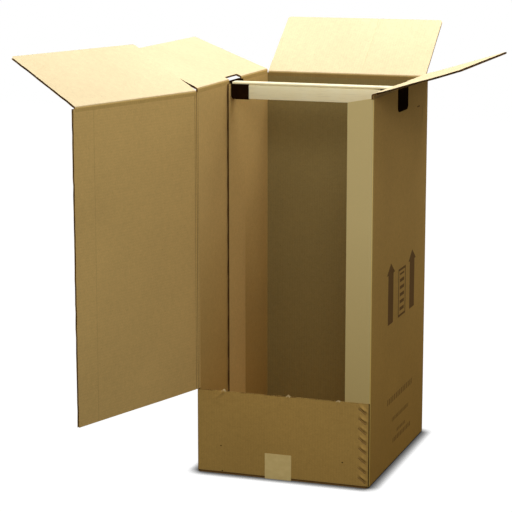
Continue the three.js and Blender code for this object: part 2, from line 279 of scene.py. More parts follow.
def flat_sheet(u0, u1, v0, v1, step, extra_u=(), extra_v=()):
    """A flat rectangle from (u0, v0) to (u1, v1), cut into a grid."""
    bm = bmesh.new()
    corners = [bm.verts.new((u, v, 0)) for u, v in ((u0, v0), (u1, v0), (u1, v1), (u0, v1))]
    bm.faces.new(corners)
    for lines, normal in ((cut_lines(u0, u1, step, extra_u), (1, 0, 0)),
                          (cut_lines(v0, v1, step, extra_v), (0, 1, 0))):
        for line in lines:
            cut_sheet(bm, Vector(normal) * line, normal)
    return bm


def cut_sheet(bm, point, normal, clear=False):
    """Cuts a flat sheet along a line, and with clear drops what lies beyond it."""
    bmesh.ops.bisect_plane(bm, geom=bm.verts[:] + bm.edges[:] + bm.faces[:], dist=1e-7,
                           plane_co=point, plane_no=normal, clear_outer=clear)


def remove_rectangle(bm, u0, u1, v0, v1):
    """Deletes the faces of a flat sheet whose middle lies in the rectangle."""
    inside = [face for face in bm.faces
              if u0 < face.calc_center_median().x < u1 and v0 < face.calc_center_median().y < v1]
    bmesh.ops.delete(bm, geom=inside, context="FACES")


def ribbon(bm, start, end, inward, pitch, middle, height, phase, ragged):
    """A strip of fluted paper in the open edge from start to end. Pitch 0 makes it flat."""
    settings = bpy.context.scene.wardrobe_board
    start, end, inward = Vector(start), Vector(end), Vector(inward)
    length = (end - start).length
    per_wave = 6 if pitch and pitch < 0.02 else 16
    count = max(2, round(length / pitch * per_wave)) if pitch else max(2, round(length / 0.02))
    made = bmesh.ops.create_grid(bm, x_segments=count, y_segments=1, size=0.5)["verts"]
    thick = 0.00035
    for vert in made:
        share, deep = vert.co.x + 0.5, vert.co.y + 0.5
        along = share * length
        wave = math.sin(2 * math.pi * along / pitch + phase) if pitch else 0.0
        if pitch and pitch < 0.02:
            wave = math.copysign(abs(wave) ** 0.8, wave)
        fray = ragged * noise.noise(Vector((along * 60, phase, middle * 900)))
        edge = 0.0003 + abs(fray) * 0.4
        depth = edge + deep * (settings.recess - edge + 0.0002)
        place = start + (end - start) * share + inward * depth
        vert.co = Vector((place.x, place.y, middle + wave * height + fray * 0.25 * (1 - deep)))
    faces = list({face for vert in made for face in vert.link_faces})
    bmesh.ops.solidify(bm, geom=faces, thickness=thick)


def open_edges(bm, edges):
    """Gives each straight cut edge its two fluted papers and the liner between them.

    An edge is (start, end, inward, across), where across tells that the cut crosses the flutes."""
    settings = bpy.context.scene.wardrobe_board
    inside = HALF - settings.liner
    divide = 0.0006
    fine = (inside + divide) / 2, (inside - divide) / 2 - 0.0003
    coarse = (divide - inside) / 2, (divide + inside) / 2 - 0.0003
    for number, (start, end, inward, across) in enumerate(edges):
        pitches = ((settings.fine_pitch, settings.coarse_pitch) if across else (0.061, 0.083))
        ragged = 0.0006 if across else 0.0012
        ribbon(bm, start, end, inward, 0, divide, 0, number, 0)
        ribbon(bm, start, end, inward, pitches[0], fine[0], fine[1], 1.3 + number, ragged)
        ribbon(bm, start, end, inward, pitches[1], coarse[0], coarse[1], 2.1 + number, ragged)


def thicken(bm, opened):
    """Gives a flat sheet the board's thickness and a channel along the edges where opened(face)."""
    settings = bpy.context.scene.wardrobe_board
    bmesh.ops.translate(bm, verts=bm.verts, vec=(0, 0, -HALF))
    made = bmesh.ops.extrude_face_region(bm, geom=bm.faces[:])["geom"]
    top = [item for item in made if isinstance(item, bmesh.types.BMVert)]
    bmesh.ops.translate(bm, verts=top, vec=(0, 0, BOARD))
    bmesh.ops.recalc_face_normals(bm, faces=bm.faces[:])
    sides = [face for face in bm.faces if abs(face.normal.z) < 0.5 and opened(face)]
    if sides:
        bmesh.ops.inset_region(
            bm, faces=sides, thickness=settings.liner, depth=-settings.recess,
            use_even_offset=True, use_boundary=True)


def finish_board(bm, name, shape, place, material):
    """Shapes the board's points, keeps their flat places as an attribute, and folds the board."""
    flat = bm.verts.layers.float_vector.new("flat")
    for vert in bm.verts:
        u, v, w = vert.co
        vert[flat] = (u, v, w)
        vert.co = place(*shape(u, v, w))
    return to_object(bm, name, material)


def to_object(bm, name, material, smooth=40):
    """An object from a bmesh, at the origin, with sharp edges beyond the smooth angle."""
    mesh = bpy.data.meshes.new(name)
    bm.normal_update()
    for face in bm.faces:
        face.smooth = True
    for edge in bm.edges:
        if len(edge.link_faces) == 2:
            edge.smooth = edge.calc_face_angle(0) < math.radians(smooth)
    bm.to_mesh(mesh)
    bm.free()
    item = bpy.data.objects.new(name, mesh)
    bpy.context.scene.collection.objects.link(item)
    mesh.materials.append(material)
    return item


def uneven(u, v, seed, wave=0.23):
    """A soft unevenness from about -1 to 1."""
    return noise.noise(Vector((u / wave + seed * 7.3, v / wave - seed * 3.1, seed * 1.7)))


def fade(distance, reach):
    """0 at a seam or crease and 1 beyond the reach."""
    t = min(max(distance / reach, 0.0), 1.0)
    return t * t * (3 - 2 * t)


def bend_place(origin, along, base, inner, turn):
    """Folds a board about the crease at v = 0, where the base continues below it.

    u runs along the crease, v from the base up through the crease, w towards the inside. The
    turn is how far the part beyond the crease leans out, in degrees."""
    origin, along, base, inner = (Vector(x) for x in (origin, along, base, inner))
    angle = math.radians(turn)

    def place(u, v, w):
        t = fade(v + BEND_REACH, 2 * BEND_REACH)
        lean = angle * t
        direction = base * math.cos(lean) - inner * math.sin(lean)
        normal = inner * math.cos(lean) + base * math.sin(lean)
        return origin + along * u + direction * v + normal * w

    return place


def wall_path():
    """The folded blank in plan, as straight runs and quarter turns, from the flange's edge."""
    front = -(WALL_Y - LAYER) + HALF
    corner = BEND_RADIUS
    low = front + corner
    runs = [
        ("run", 0.065), ("turn", corner),
        ("run", (MID_Y - corner) - low), ("turn", corner),
        ("run", 2 * (MID_X - corner)), ("turn", corner),
        ("run", 2 * (MID_Y - corner)), ("turn", corner),
        ("run", WALL_X + MID_X - corner),
    ]
    return Vector((WALL_X - 0.072, front)), runs


def wall_stops():
    """Where each run and turn of the wall's path starts and ends."""
    stops = [0.0]
    for kind, size in wall_path()[1]:
        stops.append(stops[-1] + (size if kind == "run" else size * math.pi / 2))
    return stops


def side_middles():
    """Where the middles of the right and of the left wall lie along the path."""
    stops = wall_stops()
    return stops[2] + WALL_Y - LAYER - HALF - BEND_RADIUS, stops[6] + MID_Y - BEND_RADIUS


def fold_walls(u, v, w):
    """Places a point of the flat blank on the folded walls."""
    point, runs = wall_path()
    heading = 0.0
    for index, (kind, size) in enumerate(runs):
        length = size if kind == "run" else size * math.pi / 2
        last = index == len(runs) - 1
        if u <= length or last:
            break
        u -= length
        ahead = Vector((math.cos(heading), math.sin(heading)))
        left = Vector((-ahead.y, ahead.x))
        if kind == "run":
            point = point + ahead * length
        else:
            point = point + ahead * size + left * size
            heading += math.pi / 2
    ahead = Vector((math.cos(heading), math.sin(heading)))
    left = Vector((-ahead.y, ahead.x))
    if kind == "run":
        spot = point + ahead * u + left * w
    else:
        angle = u / size
        centre = point + left * size
        spot = centre + (-left * math.cos(angle) + ahead * math.sin(angle)) * (size - w)
    return Vector((spot.x, spot.y, v))


# Materials


def kraft_board(printed=False, flap_painted_light=0.0, hinged=False, band_shade=0.86):
    """Kraft linerboard on corrugated medium, unbleached and uncoated: matt, warm brown paper
    with long fibres and specks, cloudy from the pulp, with faint bands over the flutes."""
    settings = bpy.context.scene.wardrobe_board
    material, tree, shader = new_material(
        "Printed kraft linerboard" if printed else
        "Kraft linerboard with painted light and shade on the flaps" if flap_painted_light else
        "Scored kraft linerboard" if hinged else "Kraft linerboard on corrugated medium")
    flat = add_node(tree, "ShaderNodeAttribute", {"attribute_name": "flat"}).outputs["Vector"]
    u, v, w = add_node(tree, "ShaderNodeSeparateXYZ", links=(flat,)).outputs
    inner = patch(tree, (w, *INNER_FACE))
    # Painted light: beyond the crease the flaps' inner liner is painted paler, for the overhead light on
    # their tops
    beyond = add_node(tree, "ShaderNodeMapRange",
                      {"From Min": -0.0015, "From Max": 0.0015, "To Max": flap_painted_light}, {"Value": v})
    inside = add_node(tree, MIX, BLEND,
                      {0: beyond, 6: tuple(settings.inner_colour), 7: linear("#F5E7C4")})
    liners = add_node(tree, MIX, BLEND, {0: inner, 6: tuple(settings.outer_colour), 7: inside})

    # Pulp clouds about 15 mm wide, a slow drift of tone over 300 mm and flocks of 4 mm
    clouds = add_node(tree, NOISE, {"Scale": 66.0, "Detail": 4.0, "Roughness": 0.62},
                      {"Vector": flat})
    drift = add_node(tree, NOISE, {"Scale": 3.4, "Detail": 2.0}, {"Vector": flat})
    flocks = add_node(tree, NOISE, {"Scale": 250.0, "Detail": 3.0, "Roughness": 0.7},
                      {"Vector": flat})
    # Fibres lie along the paper machine, across the flutes. Real ones are 0.05 mm wide; these
    # are 1.5 mm wide, so that they show in the render
    stretch = add_node(tree, "ShaderNodeMapping", {"Scale": (170.0, 620.0, 300.0)},
                       {"Vector": flat})
    fibres = add_node(tree, NOISE, {"Scale": 1.0, "Detail": 3.0, "Roughness": 0.7},
                      {"Vector": stretch})
    tone = add_node(tree, MATH, MULTIPLY_ADD, (clouds, 0.20, 0.79))
    tone = add_node(tree, MATH, MULTIPLY_ADD, (drift, 0.22, tone))
    for grain, strength, base in ((flocks, 0.34, 0.83), (fibres, 0.16, 0.92)):
        layer = add_node(tree, MATH, MULTIPLY_ADD, (grain, strength, base))
        tone = add_node(tree, MATH, MULTIPLY, (tone, layer))

    # The liner sinks a little between the flute tips
    turns = add_node(tree, MATH, MULTIPLY, (u, 2 * math.pi / settings.coarse_pitch))
    bands = add_node(tree, MATH, SINE, (turns,))
    tone = add_node(tree, MATH, MULTIPLY_ADD, (bands, 0.016, tone))
    grey = add_node(tree, "ShaderNodeCombineColor", links=(tone, tone, tone))
    paper = add_node(tree, MIX, TINT, {0: 1.0, 6: liners, 7: grey})

    # Dark specks from recycled fibre, up to 2 mm
    cells = add_node(tree, "ShaderNodeTexVoronoi", {"Scale": 55.0}, {"Vector": flat})
    speck = add_node(tree, MATH, LESS_THAN, (cells, 0.055))
    paper = lay(tree, paper, speck, 0.35, linear("#5C3F1C"))

    # Open edges show the fluted paper, which is darker
    edge = add_node(tree, MIX, BLEND,
                    {0: clouds, 6: tuple(settings.flute_colour), 7: linear("#7A5A30")})
    paper = lay(tree, paper, patch(tree, (w, -CORE, CORE)), 1.0, edge)

    if flap_painted_light:
        # Painted shade: the wall's board below the crease is painted as dark as the wall's own painted
        # shade, and the pressed crease is painted dark as a shaded line
        below = add_node(tree, "ShaderNodeMapRange", {"From Min": 0.0, "From Max": -0.003},
                         {"Value": v})
        paper = lay(tree, paper, inner, below, (band_shade, band_shade, band_shade * 0.92, 1), TINT)
        pressed = patch(tree, (v, -0.0012, 0.0012), (w, *INNER_FACE))
        paper = lay(tree, paper, pressed, 0.35, linear("#6B4C20"))
    if hinged:
        # Painted shade: the three pressed lines along the crease are painted dark for the shade in their
        # grooves, and an old score a little
        for line, half, amount in zip((*HINGE_LINES, OLD_SCORE), (0.0014, 0.0013, 0.0012, 0.0012),
                                      (0.75, 0.65, 0.5, 0.16)):
            pressed = patch(tree, (v, line - half, line + half), (w, *INNER_FACE))
            paper = lay(tree, paper, pressed, amount, linear("#59401A"))
    if printed:
        paper = wall_tones(tree, paper, u, v, w)
        patchy = add_node(tree, MATH, MULTIPLY_ADD, (clouds, 0.5, 0.66))
        ink = add_node(tree, MATH, MULTIPLY, (handling_marks(tree, u, v, w), patchy))
        ink = add_node(tree, MATH, MINIMUM, (ink, 0.80))
        paper = lay(tree, paper, ink, 1.0, tuple(settings.ink_colour))

    hairs = add_node(tree, MATH, MULTIPLY, (fibres, 0.8))
    height = add_node(tree, MATH, MULTIPLY_ADD, (bands, 0.3, hairs))
    raise_surface(tree, shader, height, 0.35, 0.00035)
    for name, value in (("Base Color", paper), ("Roughness", 0.88),
                        ("IOR", 1.45), ("Specular IOR Level", 0.05), ("Sheen Weight", 0.03),
                        ("Sheen Roughness", 0.55), ("Sheen Tint", linear("#FFF2D8"))):
        feed(tree, shader.inputs[name], value)
    return material


def wall_tones(tree, paper, u, v, w):
    """The paper's tone from wall to wall, with painted light and painted shade, its torn tags and its
    small dark spots.
    """
    stops = wall_stops()
    # Painted light: the flange is painted paler, for the light that falls on it
    flange = add_node(tree, MATH, LESS_THAN, (u, stops[2]))
    paper = lay(tree, paper, flange, 0.75, linear("#EBD696"))
    # Painted shade: the back wall's inside is painted darker, and all walls are painted darker towards
    # the bottom
    back = patch(tree, (u, stops[4] - 0.004, stops[5] + 0.004), (w, *INNER_FACE))
    paper = lay(tree, paper, back, 1.0, (0.46, 0.51, 0.54, 1), TINT)
    low = add_node(tree, "ShaderNodeMapRange", {"From Max": 0.75, "To Min": 0.75, "To Max": 0.0},
                   {"Value": v})
    paper = lay(tree, paper, low, 1.0, (0.66, 0.60, 0.46, 1), TINT)
    # Painted light: the front strip is painted brighter, for the light from the front
    front = add_node(tree, MATH, GREATER_THAN, (u, stops[8] - 0.004))
    paper = lay(tree, paper, front, 1.0, (1.36, 1.42, 1.36, 1), TINT)
    # Painted shade: the torn-open end of the front strip is painted as a dark line down the corner
    cut_end_shade = add_node(tree, MATH, GREATER_THAN, (u, stops[9] - 0.0016))
    paper = lay(tree, paper, cut_end_shade, 0.8, linear("#3A2810"))
    # Painted light brightens the right wall's outside; painted shade darkens it towards the bottom, and
    # the lower part of the left wall's inside
    side = patch(tree, (u, stops[2] - 0.003, stops[3]), (w, *OUTER_FACE))
    paper = lay(tree, paper, side, 1.0, (1.36, 1.32, 1.12, 1), TINT)
    paper = lay(tree, paper, side, low, (0.86, 0.80, 0.50, 1), TINT)
    shade = patch(tree, (u, stops[6], stops[7] + 0.003), (w, *INNER_FACE))
    paper = lay(tree, paper, shade, low, (0.80, 0.76, 0.52, 1), TINT)
    middle = stops[9] - WALL_X
    for nick in NICKS:
        torn = patch(tree, (u, middle + nick - 0.006, middle + nick + 0.006), (v, 0.2405, 0.2435))
        paper = lay(tree, paper, torn, 0.7, linear("#E3CB98"))
    # Small dark spots on the strip's paper
    for x, z in DARK_SPOTS:
        dark_spot = patch(tree, (u, middle + x - 0.0022, middle + x + 0.0022),
                     (v, z - 0.0018, z + 0.0018))
        paper = lay(tree, paper, dark_spot, 0.8, linear("#2E1A08"))
    return paper


def handling_marks(tree, u, v, w):
    """The mask of the marks on the outside of the right and left walls: two arrows that point
    up, a framed panel of plain bars between them, and rows of dashes below. Nothing is lettered."""
    right, left = side_middles()
    marks = []
    for middle in (right, left):
        along = add_node(tree, MATH, SUBTRACT, (u, middle))
        for centre, tip in ((-0.0925, 0.600), (0.1445, 0.598)):
            shaft = patch(tree, (along, centre - 0.0275, centre + 0.0275),
                          (v, PRINT_FOOT, tip - 0.03))
            off = add_node(tree, MATH, SUBTRACT, (along, centre))
            off = add_node(tree, MATH, ABSOLUTE, (off,))
            slope = add_node(tree, MATH, MULTIPLY_ADD, (off, 0.72, v))
            marks += [shaft, patch(tree, (slope, 0, tip), (v, tip - 0.031, tip))]
        outer = patch(tree, (along, -0.011, 0.070), (v, PRINT_FOOT, 0.566))
        hollow = patch(tree, (along, -0.004, 0.063), (v, 0.431, 0.559))
        rows = add_node(tree, MATH, MULTIPLY, (v, 2 * math.pi / 0.021))
        rows = add_node(tree, MATH, SINE, (rows,))
        marks += [add_node(tree, MATH, SUBTRACT, (outer, hollow)),
                  patch(tree, (rows, 0.1, 1.1), (along, 0.006, 0.053), (v, 0.438, 0.552))]
        for low, high, bottom, top, pitch in (
                (-0.115, 0.163, 0.187, 0.205, 0.0195), (-0.060, 0.126, 0.127, 0.139, 0.0155),
                (-0.010, 0.090, 0.084, 0.094, 0.0165), (-0.049, 0.150, 0.061, 0.075, 0.0175)):
            dashes = add_node(tree, MATH, MULTIPLY, (along, 2 * math.pi / pitch))
            dashes = add_node(tree, MATH, SINE, (dashes,))
            line = patch(tree, (along, low, high), (v, bottom, top), (dashes, -0.35, 1.1))
            marks.append(add_node(tree, MATH, MULTIPLY, (line, 0.62)))
    # A thin printed corner near the top right
    along = add_node(tree, MATH, SUBTRACT, (u, right))
    down_line = patch(tree, (along, 0.234, 0.238), (v, 0.962, 1.010))
    marks += [patch(tree, (along, 0.176, 0.205), (v, 1.0125, 1.0165)),
              add_node(tree, MATH, MULTIPLY, (down_line, 0.45))]
    outside = patch(tree, (w, *OUTER_FACE))
    return add_node(tree, MATH, MULTIPLY, (union(tree, marks), outside))


def dull_or_glossy(tree, shader, pattern, low, high):
    """Lets the roughness follow a pattern from low to high."""
    rough = add_node(tree, "ShaderNodeMapRange", {"To Min": low, "To Max": high},
                     {"Value": pattern})
    feed(tree, shader.inputs["Roughness"], rough)


def raise_surface(tree, shader, pattern, strength, height):
    """Lets the surface rise and fall with a pattern."""
    bump = add_node(tree, "ShaderNodeBump", {"Strength": strength, "Distance": height},
                    {"Height": pattern})
    feed(tree, shader.inputs["Normal"], bump)


def bar_enamel():
    """Baked enamel on folded steel sheet: smooth, cream and satin, with faint orange peel."""
    settings = bpy.context.scene.wardrobe_fittings
    material, tree, shader = new_material("Baked cream enamel on steel sheet")
    place = add_node(tree, "ShaderNodeTexCoord").outputs["Object"]
    wear = add_node(tree, NOISE, {"Scale": 24.0, "Detail": 4.0}, {"Vector": place})
    stretch = add_node(tree, "ShaderNodeMapping", {"Scale": (14.0, 260.0, 420.0)},
                       {"Vector": place})
    streaks = add_node(tree, NOISE, {"Scale": 1.0, "Detail": 3.0}, {"Vector": stretch})
    scuff = add_node(tree, "ShaderNodeMapRange", {"From Min": 0.55, "From Max": 0.72},
                     {"Value": streaks})
    peel = add_node(tree, NOISE, {"Scale": 420.0, "Detail": 1.0}, {"Vector": place})
    colour = add_node(tree, MIX, BLEND,
                      {0: wear, 6: tuple(settings.bar_colour), 7: linear("#FAEBB8")})
    colour = lay(tree, colour, scuff, 0.35, linear("#CDBB8E"))
    feed(tree, shader.inputs["Base Color"], colour)
    dull_or_glossy(tree, shader, wear, 0.26, 0.44)
    raise_surface(tree, shader, peel, 0.12, 0.0002)
    return material


def hook_plastic():
    """Injection-moulded polypropylene, black and dull, with fine moulding grain."""
    settings = bpy.context.scene.wardrobe_fittings
    material, tree, shader = new_material("Moulded black polypropylene")
    place = add_node(tree, "ShaderNodeTexCoord").outputs["Object"]
    cloud = add_node(tree, NOISE, {"Scale": 45.0, "Detail": 3.0}, {"Vector": place})
    grain = add_node(tree, NOISE, {"Scale": 900.0, "Detail": 2.0}, {"Vector": place})
    colour = add_node(tree, MIX, BLEND,
                      {0: cloud, 6: tuple(settings.hook_colour), 7: linear("#2A1808")})
    feed(tree, shader.inputs["Base Color"], colour)
    feed(tree, shader.inputs["Specular IOR Level"], 0.0)
    dull_or_glossy(tree, shader, cloud, 0.5, 0.66)
    raise_surface(tree, shader, grain, 0.18, 0.0002)
    return material


def stitch_wire():
    """Flat copper-washed steel wire, drawn and rolled: a warm dull metal."""
    settings = bpy.context.scene.wardrobe_fittings
    material, tree, shader = new_material("Copper-washed stitching wire")
    place = add_node(tree, "ShaderNodeTexCoord").outputs["Object"]
    tarnish = add_node(tree, NOISE, {"Scale": 180.0, "Detail": 3.0}, {"Vector": place})
    colour = add_node(tree, MIX, BLEND,
                      {0: tarnish, 6: tuple(settings.wire_colour), 7: linear("#5E4424")})
    feed(tree, shader.inputs["Base Color"], colour)
    feed(tree, shader.inputs["Metallic"], 0.85)
    dull_or_glossy(tree, shader, tarnish, 0.3, 0.55)
    return material


def paper_tape():
    """Kraft paper tape, glued wet: smoother and paler than the board, with soft creases."""
    settings = bpy.context.scene.wardrobe_fittings
    material, tree, shader = new_material("Gummed kraft paper tape")
    place = add_node(tree, "ShaderNodeTexCoord").outputs["Object"]
    clouds = add_node(tree, NOISE, {"Scale": 60.0, "Detail": 5.0}, {"Vector": place})
    stretch = add_node(tree, "ShaderNodeMapping", {"Scale": (160.0, 60.0, 34.0)},
                       {"Vector": place})
    creases = add_node(tree, NOISE, {"Scale": 1.0, "Detail": 4.0, "Roughness": 0.6},
                       {"Vector": stretch})
    colour = add_node(tree, MIX, BLEND,
                      {0: clouds, 6: tuple(settings.tape_colour), 7: linear("#D4B66E")})
    feed(tree, shader.inputs["Base Color"], colour)
    dull_or_glossy(tree, shader, creases, 0.42, 0.62)
    raise_surface(tree, shader, creases, 0.5, 0.0008)
    return material


def seen_directly(tree):
    """1 for rays from the camera, off glossy faces and through glass, else 0."""
    path = add_node(tree, "ShaderNodeLightPath")
    return union(tree, [path.outputs["Is %s Ray" % kind]
                        for kind in ("Camera", "Glossy", "Transmission")])


def material_for(name, maker):
    """The material of that slot, made once."""
    found = bpy.context.scene.get("made_" + name)
    if found:
        return bpy.data.materials[found]
    material = maker()
    bpy.context.scene["made_" + name] = material.name
    return material


def add_piece(item, body, slot, *nodes):
    """Rides a finished piece on its body, and hides the CAD nodes it stands for. The slot is not used.
    """
    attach(item, body)
    if nodes:
        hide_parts(*nodes)
    return item


def torn_edge(x, v, w):
    """Raises the tags where the strip was torn from the door, and dents the crease by the first."""
    rise = fade(v - STRIP_TOP + 0.012, 0.012)
    for number, (nick, height) in enumerate(zip(NICKS, (0.0072, 0.0062, 0.0040))):
        near = math.exp(-((x - nick) / 0.0042) ** 2) * rise
        v += near * height
        w += near * 0.0016 * (noise.noise(Vector((x * 700, number, v * 300))) - 1)
    if v > STRIP_TOP - 0.001:
        v += 0.0012 * noise.noise(Vector((x * 60, 1.0, w * 300)))
    # The crease runs up to the first tag from its lower left
    start, end = Vector((-0.199, 0.221)), Vector((NICKS[0], STRIP_TOP))
    along = end - start
    share = max(0.0, min(1.0, (Vector((x, v)) - start).dot(along) / along.length_squared))
    off = (Vector((x, v)) - start - along * share).length
    return v, w - 0.0036 * math.exp(-(off / 0.0034) ** 2) * (0.35 + 0.65 * share)


def puckers(x, v):
    """How far the strip is pressed in, or stands out, round the wire stitches."""
    if x < 0.205:
        return 0.0
    push = 0.0
    ahead = Vector((math.cos(STITCH_SLOPE), -math.sin(STITCH_SLOPE)))
    for index in range(8):
        off = Vector((x - STITCH_X, v - STITCH_LOWEST - STITCH_PITCH * index))
        along, beside = off.dot(ahead), off.dot(Vector((-ahead.y, ahead.x)))
        push += 0.0036 * math.exp(-(along / 0.0100) ** 4) * math.exp(-(beside / 0.0030) ** 2)
        push += 0.0034 * math.exp(-((along - 0.010) ** 2 + beside ** 2) / 0.0034 ** 2)
        middle = 1.0 + 0.7 * noise.noise(Vector((index * 3.7, 1.0, 2.0)))
        push -= 0.0052 * middle * math.exp(-((along + 0.002) / 0.0105) ** 2) * \
            math.exp(-((beside - 0.0082) / 0.0034) ** 2)
    return push


class WARDROBE_OT_walls(bpy.types.Operator):
    """Folds the carton's walls, front strip and flange from one blank"""

    bl_idname = "wardrobe.walls"
    bl_label = "Walls"

    def execute(self, context):
        settings = context.scene.wardrobe_board
        stops = wall_stops()
        total = stops[-1]
        arcs = []
        for index in (1, 3, 5, 7):
            low, high = stops[index], stops[index + 1]
            arcs += [low + (high - low) * part / 4 for part in range(5)]
        right_middle, left_middle = side_middles()
        back_middle = (stops[4] + stops[5]) / 2
        seam_end = stops[7] - 0.006
        flap_edges = [right_middle - SIDE_REACH, right_middle + SIDE_REACH,
                      left_middle - SIDE_REACH, left_middle + SIDE_REACH,
                      back_middle - END_REACH, back_middle + END_REACH]
        extra_v = [WALL_FOOT, FLANGE_FOOT, STRIP_TOP, END_CREASE - BAND, END_WALL_TOP,
                   SIDE_CREASE - BAND, 0.0025, 0.005]
        raw_end = WALL_X - total
        fine_u = [total - 0.004 * step for step in range(1, 13)]
        fine_u += [total - 0.002 - 0.004 * step for step in range(1, 12)]
        for nick in NICKS:
            fine_u += [nick - raw_end + 0.002 * step for step in (-4, -3, -2, -1, 0, 1, 2, 3, 4)]
        fine_u += [-0.205 - raw_end + 0.004 * step for step in range(7)]
        extra_v += [0.012 + 0.0025 * step for step in range(91)]
        bm = flat_sheet(0, total, GROUND, SIDE_WALL_TOP, settings.grid,
                        arcs + flap_edges + [seam_end] + fine_u, extra_v)
        far = SIDE_WALL_TOP + 0.01
        for low, high in ((flap_edges[0], min(flap_edges[1], stops[3])),
                          (max(flap_edges[2], stops[6]), seam_end)):
            remove_rectangle(bm, low, high, SIDE_CREASE - BAND, far)
        remove_rectangle(bm, stops[3], stops[6], END_WALL_TOP, far)
        remove_rectangle(bm, flap_edges[4], flap_edges[5], END_CREASE - BAND, far)
        remove_rectangle(bm, seam_end, total, STRIP_TOP, far)
        remove_rectangle(bm, -1, stops[2], END_WALL_TOP, far)
        remove_rectangle(bm, -1, stops[1] + 0.001, -1, FLANGE_FOOT)
        remove_rectangle(bm, stops[3] + 0.003, stops[6] - 0.003, -1, WALL_FOOT)
        remove_rectangle(bm, stops[7] + 0.003, total, -1, WALL_FOOT)
        # The flange's top slopes down to its free edge
        slope = [face for face in bm.faces if face.calc_center_median().x < stops[1]]
        geometry = list({item for face in slope for item in (*face.verts, *face.edges)}) + slope
        bmesh.ops.bisect_plane(
            bm, geom=geometry, dist=1e-7, plane_co=(stops[1], END_WALL_TOP - 0.0005, 0),
            plane_no=(-FLANGE_SLOPE, 1, 0))
        above = [face for face in bm.faces
                 if face.calc_center_median().x < stops[1]
                 and face.calc_center_median().y > END_WALL_TOP - 0.0005
                 + FLANGE_SLOPE * (face.calc_center_median().x - stops[1])]
        bmesh.ops.delete(bm, geom=above, context="FACES")

        def opened(face):
            centre = face.calc_center_median()
            strip_top = centre.x > seam_end + 0.002 and abs(centre.y - STRIP_TOP) < 0.0005
            raw_end = centre.x > total - 0.0005
            flange_edge = centre.x < 0.0005
            flange_top = centre.x < stops[1] and centre.y > 1.06
            return strip_top or raw_end or flange_edge or flange_top

        thicken(bm, opened)
        open_edges(bm, [
            ((stops[8], STRIP_TOP, 0), (total, STRIP_TOP, 0), (0, -1, 0), True),
            ((total, 0.008, 0), (total, STRIP_TOP - 0.003, 0), (-1, 0, 0), False),
            ((0, 0.014, 0), (0, 1.073, 0), (1, 0, 0), False),
            ((0.002, 1.0748, 0), (stops[1], END_WALL_TOP - 0.0005, 0), (0.18, -0.98, 0), True),
        ])

        def shape(u, v, w):
            panel = (u < stops[1], stops[2] < u < stops[3], stops[4] < u < stops[5],
                     stops[6] < u < stops[7], u > stops[8])
            if any(panel):
                number = panel.index(True)
                low = (0, stops[2], stops[4], stops[6], stops[8])[number]
                high = (stops[1], stops[3], stops[5], stops[7], total)[number]
                near = min(u - low if number else 1, high - u if number < 4 else 1)
                if number == 3 and v > STRIP_TOP - 0.02:
                    near = min(near, max(0.0, seam_end - u - 0.004))
                top = max(0.0, (SIDE_CREASE if number in (1, 3) else END_CREASE) - 0.03 - v)
                amount = fade(near, 0.09) * fade(v - 0.013, 0.08) * fade(top, 0.09)
                size = settings.unevenness * (0.25 if number in (0, 4) else 1.0)
                w += size * amount * uneven(u, v, number + 1)
                if number == 4:
                    w += 0.0007 * fade(near, 0.03) * fade(0.02 - abs(STRIP_TOP - v), 0.02) * \
                        noise.noise(Vector((u * 34, 3.1, 0)))
            # The bottom crease is rounded outside
            if w < 0 and v < 0.0045 + GROUND:
                rest = (0.0045 + GROUND - v) / 0.0045
                w += 0.003 * rest * rest
            if u > stops[8]:
                v, w = torn_edge(u + raw_end, v, w)
                w += puckers(u + raw_end, v)
            return u, v, w

        board = material_for("print", lambda: kraft_board(True))
        walls = finish_board(bm, "carton_walls", shape, fold_walls, board)
        add_piece(walls, "carton", "kraft_board", "carton_body")
        return {"FINISHED"}


class WARDROBE_OT_bottom(bpy.types.Operator):
    """Closes the bottom with two outer and two inner flaps"""

    bl_idname = "wardrobe.bottom"
    bl_label = "Bottom flaps"

    def execute(self, context):
        settings = context.scene.wardrobe_board
        board = material_for("kraft", kraft_board)
        outer_z = GROUND + HALF
        inner_z = outer_z + LAYER
        inset = WALL_X - BOARD - 0.002
        rows = (
            ("bottom_flap_left", -0.3035, 0.3035, MID_X - 0.0005 - 0.003, outer_z,
             (-MID_X + 0.003, 0), (0, 1), (1, 0)),
            ("bottom_flap_right", -0.3035, 0.3035, MID_X - 0.0005 - 0.003, outer_z,
             (MID_X - 0.003, 0), (0, 1), (-1, 0)),
            ("bottom_flap_front", -inset, inset, 0.248, inner_z, (0, -MID_Y + 0.003), (1, 0), (0, 1)),
            ("bottom_flap_back", -inset, inset, 0.248, inner_z, (0, MID_Y - 0.003), (1, 0), (0, -1)),
        )
        for name, low, high, reach, height, root, along, away in rows:
            bm = flat_sheet(low, high, 0, reach, settings.grid * 1.6)
            thicken(bm, lambda face, limit=reach: face.calc_center_median().y > limit - 0.0005)
            open_edges(bm, [((low, reach, 0), (high, reach, 0), (0, -1, 0), True)])

            def place(u, v, w, root=root, along=along, away=away, height=height):
                return Vector((root[0] + along[0] * u + away[0] * v,
                               root[1] + along[1] * u + away[1] * v, height + w))

            item = finish_board(bm, name, lambda u, v, w: (u, v, w), place, board)
            add_piece(item, "carton", "kraft_board")
        return {"FINISHED"}


